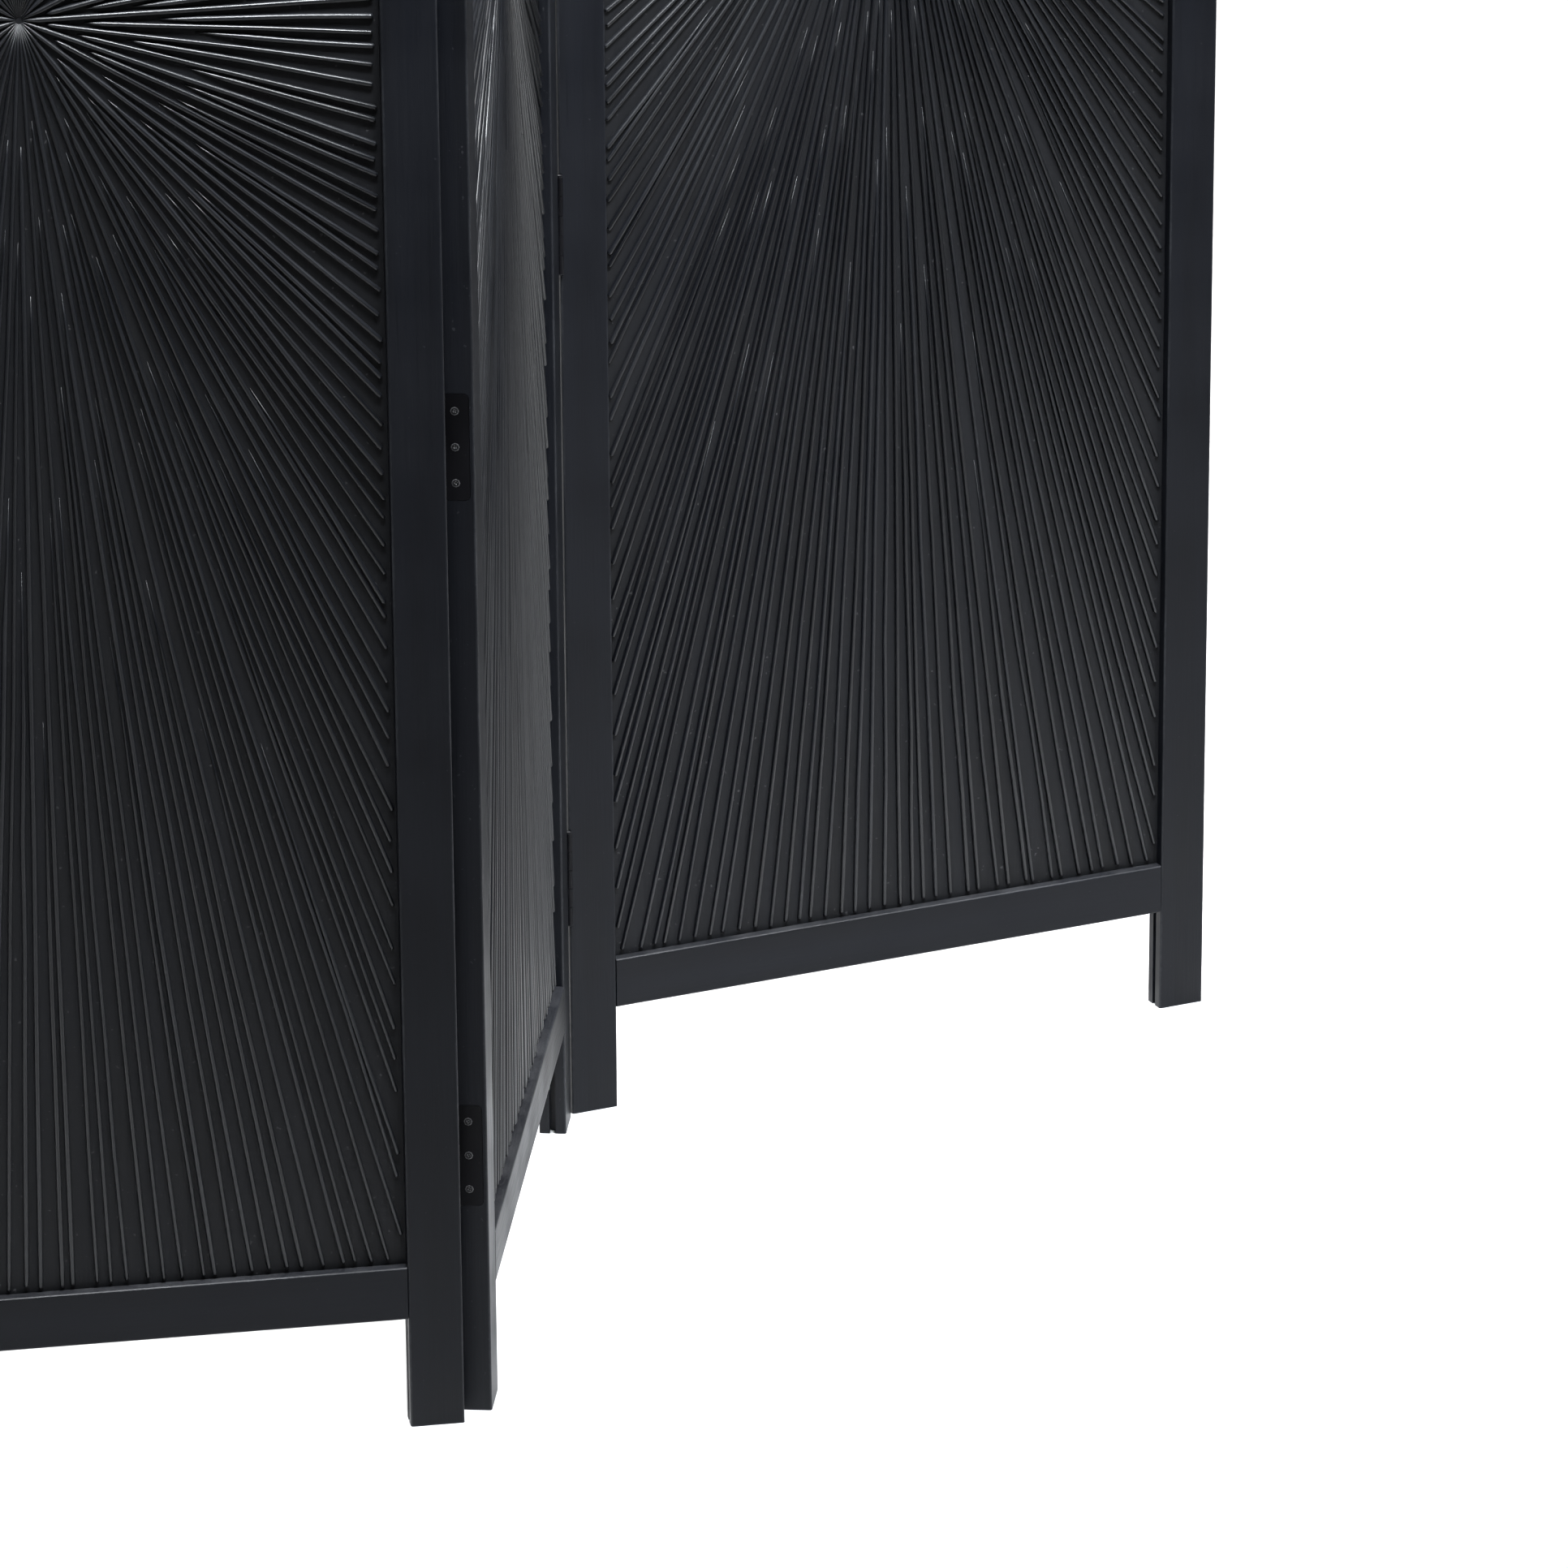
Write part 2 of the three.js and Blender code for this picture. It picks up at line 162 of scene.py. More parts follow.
@dataclass(frozen=True)
class PanelPlace:
    """Where one panel stands, read from its own CAD nodes.

    A point of a panel is given by its way across the panel, its height and its way out of the board
    towards the front.
    """

    panel: Panel
    middle: np.ndarray
    across: np.ndarray
    front: np.ndarray
    half_width: float
    half_height: float

    @classmethod
    def read(cls, panel: Panel) -> "PanelPlace":
        """Works out a panel's directions from its board and its sunburst.

        The board's longest level direction runs across the panel, and the front is the side that the
        sunburst lies on.

        Args:
            panel: which panel.

        Returns:
            The panel's place, with its middle on the board's front face behind the sunburst's centre.
        """
        board = node_points(panel.node("backing_board"))
        burst = node_points(panel.node("sunburst"))
        level = board[:, :2] - board[:, :2].mean(axis=0)
        _, _, ways = np.linalg.svd(level, full_matrices=False)
        across = np.array([ways[0][0], ways[0][1], 0.0])
        front = np.array([across[1], -across[0], 0.0])
        centre = (board.max(axis=0) + board.min(axis=0)) / 2
        if (burst.mean(axis=0) - centre) @ front < 0:
            across, front = -across, -front
        heights = (burst[:, 2].min(), burst[:, 2].max())
        widths = (burst - centre) @ across
        middle = centre + across * (widths.max() + widths.min()) / 2
        middle = middle + front * ((board - centre) @ front).max()
        middle[2] = sum(heights) / 2
        half = (widths.max() - widths.min()) / 2, (heights[1] - heights[0]) / 2
        return cls(panel, middle, across, front, *half)

    def stand(self, across: np.ndarray, up: np.ndarray, out: np.ndarray) -> np.ndarray:
        """Places points of the panel in the screen's frame.

        A point is the middle, plus its way across, up and out along the panel's three directions.

        Args:
            across: distances to the panel's right of its middle.
            up: distances above its middle.
            out: distances in front of the board.

        Returns:
            One row of x, y, z for each point.
        """
        flat = [np.ravel(a) for a in np.broadcast_arrays(across, up, out)]
        return (
            self.middle
            + flat[0][:, None] * self.across
            + flat[1][:, None] * UPWARD
            + flat[2][:, None] * self.front
        )


class Web:
    """A node tree being built, with short ways to add nodes and join them."""

    def __init__(self, tree: bpy.types.NodeTree) -> None:
        """Starts with a tree that has no nodes."""
        self.tree = tree
        tree.nodes.clear()

    def add(self, kind: str, inputs: dict | None = None, **settings: object) -> bpy.types.Node:
        """Adds one node.

        Args:
            kind: the node's type, without the leading ShaderNode.
            inputs: for each input socket's name or number, a value or the output socket that feeds it.
            settings: the node's own properties.

        Returns:
            The new node.
        """
        node = self.tree.nodes.new(kind if kind.startswith("Node") else f"ShaderNode{kind}")
        for name, value in settings.items():
            setattr(node, name, value)
        for key, value in (inputs or {}).items():
            socket = node.inputs[key]
            if isinstance(value, bpy.types.NodeSocket):
                self.tree.links.new(value, socket)
            else:
                socket.default_value = value
        return node

    def join(self, source: bpy.types.NodeSocket, node: bpy.types.Node, name: str) -> None:
        """Feeds a node's named input from a socket."""
        self.tree.links.new(source, node.inputs[name])

    def math(self, operation: str, *values: object, clamp: bool = False) -> bpy.types.NodeSocket:
        """Adds a Math node and gives its result."""
        node = self.add("Math", dict(enumerate(values)), operation=operation, use_clamp=clamp)
        return node.outputs[0]

    def ramp(
        self, value: object, low: float, high: float, to_low: float = 0.0, to_high: float = 1.0
    ) -> bpy.types.NodeSocket:
        """Turns a range of values into another, smoothly and without passing its ends.

        Args:
            value: the output socket to read.
            low: the value that becomes to_low.
            high: the value that becomes to_high.
            to_low: the lowest result.
            to_high: the highest result.

        Returns:
            The socket of the changed value.
        """
        node = self.add(
            "MapRange",
            {"Value": value, "From Min": low, "From Max": high, "To Min": to_low, "To Max": to_high},
            interpolation_type="SMOOTHSTEP",
        )
        return node.outputs["Result"]

    def noise(
        self, vector: object, scale: float, detail: float = 2.0, roughness: float = 0.5
    ) -> bpy.types.NodeSocket:
        """Adds a Noise texture and gives its value, which is about 0.5 on average."""
        node = self.add(
            "TexNoise",
            {"Vector": vector, "Scale": scale, "Detail": detail, "Roughness": roughness},
        )
        return node.outputs["Fac"]

    def bumps(self, *layers: tuple[bpy.types.NodeSocket, float, float]) -> bpy.types.NodeSocket:
        """Lays bumps over one another, each a height, a depth and a strength, and gives the normal."""
        normal = None
        for height, depth, strength in layers:
            inputs = {"Height": height, "Distance": depth, "Strength": strength}
            if normal is not None:
                inputs["Normal"] = normal
            normal = self.add("Bump", inputs).outputs["Normal"]
        return normal

    def mix(self, share: object, one: object, other: object) -> bpy.types.NodeSocket:
        """Mixes two colours and gives the result."""
        node = self.add("Mix", data_type="RGBA", blend_type="MIX")
        for name, value in (("Factor", share), ("A", one), ("B", other)):
            kind = "VALUE" if name == "Factor" else "RGBA"
            socket = next(s for s in node.inputs if s.name == name and s.type == kind)
            if isinstance(value, bpy.types.NodeSocket):
                self.tree.links.new(value, socket)
            else:
                socket.default_value = (*value, 1.0) if kind == "RGBA" else value
        return next(s for s in node.outputs if s.type == "RGBA")

    def group(self, shared: bpy.types.NodeTree, inputs: dict) -> bpy.types.Node:
        """Places a shared node group here with its own values."""
        node = self.add("Group")
        node.node_tree = shared
        for key, value in inputs.items():
            if isinstance(value, bpy.types.NodeSocket):
                self.tree.links.new(value, node.inputs[key])
            else:
                node.inputs[key].default_value = value
        return node


def new_group(
    name: str, takes: dict[str, tuple[str, object]], gives: dict[str, str]
) -> tuple[Web, bpy.types.Node, bpy.types.Node]:
    """Makes an empty shader node group with named sockets.

    Args:
        name: the group's name.
        takes: for each input, its socket type and its usual value.
        gives: for each output, its socket type.

    Returns:
        The group's tree to build in, its input node and its output node.
    """
    tree = bpy.data.node_groups.new(name, "ShaderNodeTree")
    web = Web(tree)
    for label, (kind, usual) in takes.items():
        socket = tree.interface.new_socket(label, in_out="INPUT", socket_type=kind)
        socket.default_value = usual
    for label, kind in gives.items():
        tree.interface.new_socket(label, in_out="OUTPUT", socket_type=kind)
    return web, web.add("NodeGroupInput"), web.add("NodeGroupOutput")


class Effects:
    """The effects that several finishes share, each a shader node group built once."""

    def __init__(self) -> None:
        """Builds every group."""
        self.arris = self._arris_wear()
        self.grain = self._grain()
        self.dust = self._dust_and_highlight()
        self.film = self._paint_film()

    def _arris_wear(self) -> bpy.types.NodeTree:
        """Paint rubbed thin along a member's long arrises.

        A point's distance from the two nearest faces of the member's box is summed without the
        smallest way in, so that only points near two faces at once are near an arris, and noise
        breaks the line up.

        Returns:
            The group, from a point about the member's middle to a mask.
        """
        web, takes, gives = new_group(
            "arris_wear",
            {
                "Point": (VECTOR, (0, 0, 0)),
                "Half Size": (VECTOR, (1, 1, 1)),
                "Reach": (FLOAT, 1.6 * MM),
                "Broken": (FLOAT, 0.5),
            },
            {"Mask": FLOAT},
        )
        point, half = takes.outputs["Point"], takes.outputs["Half Size"]
        size = web.add("VectorMath", {0: point}, operation="ABSOLUTE").outputs[0]
        inward = web.add("VectorMath", {0: half, 1: size}, operation="SUBTRACT").outputs[0]
        parts = web.add("SeparateXYZ", {0: inward}).outputs
        low = web.math("MINIMUM", parts[0], parts[1])
        high = web.math("MAXIMUM", parts[0], parts[1])
        # The second smallest of three distances in is the way to the nearest arris.
        second = web.math("MINIMUM", high, web.math("MAXIMUM", low, parts[2]))
        ragged = web.noise(point, 260.0, 3.0, 0.6)
        patchy = web.noise(point, 14.0, 2.0, 0.5)
        shift = web.math("MULTIPLY", web.math("SUBTRACT", ragged, 0.5), takes.outputs["Reach"])
        near = web.math("ADD", second, shift)
        edge = web.math("SUBTRACT", 1.0, web.math("DIVIDE", near, takes.outputs["Reach"]), clamp=True)
        kept = web.math("MULTIPLY", web.ramp(patchy, 0.36, 0.68), takes.outputs["Broken"])
        whole = web.math("SUBTRACT", 1.0, takes.outputs["Broken"])
        mask = web.math("MULTIPLY", edge, web.math("ADD", kept, whole), clamp=True)
        web.join(mask, gives, "Mask")
        return web.tree

    def _grain(self) -> bpy.types.NodeTree:
        """Wood grain that shows through paint as long low ridges.

        Noise is read at a point whose way along the grain is squeezed, so that its cells are drawn
        out into fibres, and a second, wider noise bends them.

        Returns:
            The group, from a point and its squeeze to a height and a tone, both about 0.5.
        """
        web, takes, gives = new_group(
            "painted_grain",
            {
                "Point": (VECTOR, (0, 0, 0)),
                "Squeeze": (VECTOR, (1, 1, 1)),
                "Fineness": (FLOAT, 420.0),
            },
            {"Height": FLOAT, "Tone": FLOAT},
        )
        drawn = web.add(
            "VectorMath",
            {0: takes.outputs["Point"], 1: takes.outputs["Squeeze"]},
            operation="MULTIPLY",
        ).outputs[0]
        bend = web.add("TexNoise", {"Vector": drawn, "Scale": 22.0, "Detail": 1.0})
        moved = web.add(
            "VectorMath",
            {0: bend.outputs["Color"], 1: (0.006, 0.006, 0.006), 2: drawn},
            operation="MULTIPLY_ADD",
        ).outputs[0]
        fine = web.add(
            "TexNoise",
            {"Vector": moved, "Scale": takes.outputs["Fineness"], "Detail": 3.0, "Roughness": 0.62},
        ).outputs["Fac"]
        broad = web.noise(moved, 60.0, 2.0)
        web.join(fine, gives, "Height")
        web.join(broad, gives, "Tone")
        return web.tree

    def _dust_and_highlight(self) -> bpy.types.NodeTree:
        """Settled dust where a surface faces up, and on the sticks also a painted highlight on their upper
        sides.

        The upward part of the normal is raised from 0 to 1 above a slope and broken by noise.

        Returns:
            The group, from a point to a mask.
        """
        web, takes, gives = new_group(
            "dust_and_highlight",
            {
                "Point": (VECTOR, (0, 0, 0)),
                "Amount": (FLOAT, 0.5),
                "Slope": (FLOAT, 0.5),
            },
            {"Mask": FLOAT},
        )
        facing = web.add("SeparateXYZ", {0: web.add("NewGeometry").outputs["Normal"]}).outputs[2]
        over = web.math("SUBTRACT", facing, takes.outputs["Slope"], clamp=True)
        speckle = web.ramp(web.noise(takes.outputs["Point"], 900.0, 3.0, 0.7), 0.42, 0.62)
        drift = web.ramp(web.noise(takes.outputs["Point"], 34.0, 2.0), 0.3, 0.7)
        both = web.math("MULTIPLY_ADD", speckle, 0.6, web.math("MULTIPLY", drift, 0.5))
        mask = web.math("MULTIPLY", web.math("MULTIPLY", over, both), takes.outputs["Amount"], clamp=True)
        web.join(mask, gives, "Mask")
        return web.tree

    def _paint_film(self) -> bpy.types.NodeTree:
        """A sprayed coat: a fine even stipple, soft thick and thin places and rare specks.

        Returns:
            The group, from a point to a height, a tone from 0 to 1 and a mask of specks.
        """
        web, takes, gives = new_group(
            "paint_film",
            {
                "Point": (VECTOR, (0, 0, 0)),
                "Stipple": (FLOAT, 1100.0),
            },
            {"Height": FLOAT, "Tone": FLOAT, "Specks": FLOAT},
        )
        stipple = web.add(
            "TexNoise",
            {"Vector": takes.outputs["Point"], "Scale": takes.outputs["Stipple"], "Detail": 2.0},
        ).outputs["Fac"]
        soft = web.noise(takes.outputs["Point"], 9.0, 3.0, 0.55)
        spots = web.noise(takes.outputs["Point"], 330.0, 1.0)
        web.join(stipple, gives, "Height")
        web.join(web.ramp(soft, 0.3, 0.7), gives, "Tone")
        web.join(web.ramp(spots, 0.74, 0.8), gives, "Specks")
        return web.tree


def new_material(name: str, specular: float) -> tuple[bpy.types.Material, Web, bpy.types.Node]:
    """Makes a material that holds one Principled BSDF.

    Args:
        name: the material's name.
        specular: the level of its reflection.

    Returns:
        The material, its tree to build in and its shader node.
    """
    material = bpy.data.materials.new(name)
    material.use_nodes = True
    web = Web(material.node_tree)
    shader = web.add("BsdfPrincipled")
    shader.inputs["Specular IOR Level"].default_value = specular
    output = web.add("OutputMaterial")
    web.join(shader.outputs[0], output, "Surface")
    return material, web, shader


def scaled(colour: Colour, by: float) -> Colour:
    """The colour made lighter or darker."""
    return tuple(part * by for part in colour)


@dataclass(frozen=True)
class BoxPlace:
    """The middle, turn and half size of an upright box, for patterns that follow its arrises."""

    middle: Triple
    turn: float
    half: Triple

    @classmethod
    def of(cls, points: np.ndarray, across: np.ndarray, front: np.ndarray) -> "BoxPlace":
        """Measures points along a panel's directions.

        Args:
            points: the piece's corners.
            across: the panel's way across.
            front: the panel's way out.

        Returns:
            The box, with its half size given across, through and up.
        """
        ways = np.stack([across, -front, UPWARD])
        along = points @ ways.T
        low, high = along.min(axis=0), along.max(axis=0)
        middle = ((low + high) / 2) @ ways
        turn = math.atan2(across[1], across[0])
        return cls(tuple(middle), turn, tuple((high - low) / 2))

    def point(self, web: Web) -> bpy.types.NodeSocket:
        """Adds the nodes that give a point about this box's middle, along its own directions."""
        place = web.add("TexCoord").outputs["Object"]
        node = web.add("Mapping", {"Vector": place}, vector_type="TEXTURE")
        node.inputs["Location"].default_value = self.middle
        node.inputs["Rotation"].default_value = (0.0, 0.0, self.turn)
        return node.outputs["Vector"]


@dataclass(frozen=True)
class FramePaint:
    """Blue-black satin paint sprayed over open grain, rubbed thin along the arrises."""

    colour: Colour = (0.0022, 0.0027, 0.0042)
    rubbed: Colour = (0.040, 0.042, 0.047)
    dust: Colour = (0.10, 0.10, 0.105)
    roughness: float = 0.48
    specular: float = 0.2
    worn_reach: float = 1.5 * MM
    grain_depth: float = 0.22 * MM
    film_depth: float = 0.06 * MM

    def material(self, name: str, box: BoxPlace, upright: bool, effects: Effects) -> bpy.types.Material:
        """Makes the paint of one member.

        Args:
            name: the material's name.
            box: where the member stands.
            upright: True where the grain runs up.
            effects: the shared node groups.

        Returns:
            The material.
        """
        material, web, shader = new_material(name, self.specular)
        point = box.point(web)
        squeeze = (1.0, 1.0, 0.035) if upright else (0.035, 1.0, 1.0)
        grain = web.group(effects.grain, {"Point": point, "Squeeze": squeeze, "Fineness": 520.0})
        film = web.group(effects.film, {"Point": point, "Stipple": 1300.0})
        worn = web.group(
            effects.arris,
            {"Point": point, "Half Size": box.half, "Reach": self.worn_reach, "Broken": 0.75},
        )
        dust = web.group(effects.dust, {"Point": point, "Amount": 0.5, "Slope": 0.45})
        thick = web.mix(film.outputs["Tone"], scaled(self.colour, 0.82), scaled(self.colour, 1.22))
        grained = web.mix(
            web.ramp(grain.outputs["Tone"], 0.3, 0.75), thick, scaled(self.colour, 1.45)
        )
        pores = web.mix(web.ramp(grain.outputs["Height"], 0.34, 0.2), grained, scaled(self.colour, 0.45))
        rubbed = web.mix(web.math("MULTIPLY", worn.outputs["Mask"], 0.55), pores, self.rubbed)
        specked = web.mix(web.math("MULTIPLY", film.outputs["Specks"], 0.35), rubbed, self.rubbed)
        colour = web.mix(dust.outputs["Mask"], specked, self.dust)
        web.join(colour, shader, "Base Color")
        rough = web.ramp(film.outputs["Tone"], 0.0, 1.0, self.roughness - 0.05, self.roughness + 0.05)
        rough = web.math("MULTIPLY_ADD", grain.outputs["Height"], 0.24, web.math("SUBTRACT", rough, 0.12))
        rough = web.math("MULTIPLY_ADD", worn.outputs["Mask"], -0.12, rough)
        rough = web.math("MULTIPLY_ADD", dust.outputs["Mask"], 0.35, rough, clamp=True)
        web.join(rough, shader, "Roughness")
        normal = web.bumps(
            (grain.outputs["Height"], self.grain_depth, 0.55),
            (film.outputs["Height"], self.film_depth, 0.6),
        )
        web.join(normal, shader, "Normal")
        return material


@dataclass(frozen=True)
class BoardPaint:
    """The same paint put on thinly: flatter, greyer and a little uneven, and set darker as painted shade for
    the recess behind the sticks.
    """

    # Darker than the frame's paint: painted shade in the recess behind the sticks.
    colour: Colour = (0.0014, 0.0017, 0.0026)
    dust: Colour = (0.11, 0.11, 0.115)
    roughness: float = 0.62
    specular: float = 0.28
    grain_depth: float = 0.2 * MM
    film_depth: float = 0.08 * MM

    def material(self, name: str, box: BoxPlace, effects: Effects) -> bpy.types.Material:
        """Makes the paint of one board.

        Args:
            name: the material's name.
            box: where the board stands.
            effects: the shared node groups.

        Returns:
            The material.
        """
        material, web, shader = new_material(name, self.specular)
        point = box.point(web)
        grain = web.group(effects.grain, {"Point": point, "Squeeze": (1.0, 1.0, 0.06), "Fineness": 300.0})
        film = web.group(effects.film, {"Point": point, "Stipple": 900.0})
        base = web.mix(film.outputs["Tone"], scaled(self.colour, 0.8), scaled(self.colour, 1.3))
        base = web.mix(web.ramp(grain.outputs["Tone"], 0.35, 0.7), base, scaled(self.colour, 1.5))
        colour = web.mix(web.math("MULTIPLY", film.outputs["Specks"], 0.3), base, self.dust)
        web.join(colour, shader, "Base Color")
        rough = web.ramp(grain.outputs["Height"], 0.3, 0.7, self.roughness - 0.06, self.roughness + 0.06)
        web.join(rough, shader, "Roughness")
        normal = web.bumps(
            (grain.outputs["Height"], self.grain_depth, 0.5),
            (film.outputs["Height"], self.film_depth, 0.6),
        )
        web.join(normal, shader, "Normal")
        return material


@dataclass(frozen=True)
class StickPaint:
    """Satin black over thin round sticks, a little different from stick to stick."""

    colour: Colour = (0.0024, 0.0029, 0.0042)
    # Lighter colour for paint specks and for the sticks' upward-facing sides, where it is settled dust and a
    # painted highlight.
    rubbed: Colour = (0.045, 0.047, 0.052)
    roughness: float = 0.32
    specular: float = 0.52
    grain_depth: float = 0.12 * MM
    film_depth: float = 0.05 * MM

    def material(self, name: str, effects: Effects) -> bpy.types.Material:
        """Makes the paint of all sticks, which carry their own places in an attribute.

        The attribute stick_place holds the way round the stick, the way along it and the stick's own
        number from 0 to 1.

        Args:
            name: the material's name.
            effects: the shared node groups.

        Returns:
            The material.
        """
        material, web, shader = new_material(name, self.specular)
        own = web.add("Attribute", attribute_name="stick_place", attribute_type="GEOMETRY")
        parts = web.add("SeparateXYZ", {0: own.outputs["Vector"]}).outputs
        apart = web.add(
            "CombineXYZ", {0: parts[0], 1: parts[1], 2: web.math("MULTIPLY", parts[2], 7.0)}
        ).outputs[0]
        grain = web.group(effects.grain, {"Point": apart, "Squeeze": (1.0, 0.05, 1.0), "Fineness": 620.0})
        place = web.add("TexCoord").outputs["Object"]
        film = web.group(effects.film, {"Point": place, "Stipple": 1200.0})
        # Mask of the sticks' upward-facing sides: settled dust, and a painted highlight where the lamps above
        # light their upper sides.
        dust = web.group(effects.dust, {"Point": place, "Amount": 0.16, "Slope": 0.2})
        darker, lighter = scaled(self.colour, 0.72), scaled(self.colour, 1.45)
        base = web.mix(parts[2], darker, lighter)
        base = web.mix(web.ramp(grain.outputs["Height"], 0.4, 0.24), base, scaled(self.colour, 0.5))
        base = web.mix(web.math("MULTIPLY", film.outputs["Specks"], 0.35), base, self.rubbed)
        # Painted highlight and settled dust: the lighter colour goes on where the sticks face up.
        colour = web.mix(dust.outputs["Mask"], base, self.rubbed)
        web.join(colour, shader, "Base Color")
        rough = web.ramp(film.outputs["Tone"], 0.0, 1.0, self.roughness - 0.05, self.roughness + 0.07)
        rough = web.math("MULTIPLY_ADD", parts[2], 0.08, rough)
        web.join(rough, shader, "Roughness")
        normal = web.bumps(
            (grain.outputs["Height"], self.grain_depth, 0.5),
            (film.outputs["Height"], self.film_depth, 0.5),
        )
        web.join(normal, shader, "Normal")
        return material


@dataclass(frozen=True)
class MetalPaint:
    """Black enamel over pressed steel, chipped back to the metal along the edges."""

    colour: Colour = (0.0012, 0.0012, 0.0019)
    bare: Colour = (0.085, 0.088, 0.095)
    dust: Colour = (0.08, 0.08, 0.085)
    roughness: float = 0.45
    specular: float = 0.14
    chipped: float = 0.3
    worn_reach: float = 0.8 * MM
    film_depth: float = 0.07 * MM
    rubbed: str = ""

    def material(self, name: str, box: BoxPlace, effects: Effects) -> bpy.types.Material:
        """Makes the paint of one piece of metal.

        Args:
            name: the material's name.
            box: where the piece stands.
            effects: the shared node groups.

        Returns:
            The material.
        """
        material, web, shader = new_material(name, self.specular)
        point = box.point(web)
        film = web.group(effects.film, {"Point": point, "Stipple": 1800.0})
        worn = web.group(
            effects.arris,
            {"Point": point, "Half Size": box.half, "Reach": self.worn_reach, "Broken": 0.9},
        )
        dust = web.group(effects.dust, {"Point": point, "Amount": 0.3, "Slope": 0.5})
        chips = web.math("MULTIPLY", worn.outputs["Mask"], self.chipped)
        if self.rubbed:
            own = web.add("Attribute", attribute_name=self.rubbed, attribute_type="GEOMETRY").outputs["Fac"]
            patchy = web.ramp(web.noise(point, 700.0, 2.0), 0.25, 0.6, 0.35, 1.0)
            chips = web.math("MULTIPLY", web.math("MULTIPLY", own, patchy), self.chipped)
        base = web.mix(film.outputs["Tone"], scaled(self.colour, 0.8), scaled(self.colour, 1.5))
        base = web.mix(web.math("MULTIPLY", film.outputs["Specks"], 0.3), base, self.bare)
        base = web.mix(dust.outputs["Mask"], base, self.dust)
        colour = web.mix(chips, base, self.bare)
        web.join(colour, shader, "Base Color")
        web.join(chips, shader, "Metallic")
        rough = web.ramp(film.outputs["Tone"], 0.0, 1.0, self.roughness - 0.05, self.roughness + 0.08)
        web.join(rough, shader, "Roughness")
        web.join(web.bumps((film.outputs["Height"], self.film_depth, 0.6)), shader, "Normal")
        return material


def dress(name: str, material: bpy.types.Material) -> None:
    """Puts a material on every slot of a CAD node."""
    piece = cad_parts[name]
    if not piece.material_slots:
        piece.data.materials.append(material)
    for held in piece.material_slots:
        held.material = material


@dataclass
class PanelFrame:
    """A panel's two stiles and two rails, which keep their CAD shapes."""

    place: PanelPlace
    paint: FramePaint = FramePaint()

    def dress(self, effects: Effects) -> None:
        """Paints each member with its grain along it."""
        for member in Member:
            name = self.place.panel.node(member.value)
            box = BoxPlace.of(node_points(name), self.place.across, self.place.front)
            dress(name, self.paint.material(f"{name}_paint", box, member.upright, effects))
            LOG.info("painted %s", name)


@dataclass
class BackingBoard:
    """The thin painted board in the frame's grooves, which keeps its CAD shape."""

    place: PanelPlace
    paint: BoardPaint = BoardPaint()

    def dress(self, effects: Effects) -> None:
        """Paints the board."""
        name = self.place.panel.node("backing_board")
        box = BoxPlace.of(node_points(name), self.place.across, self.place.front)
        dress(name, self.paint.material(f"{name}_paint", box, effects))
        LOG.info("painted %s", name)


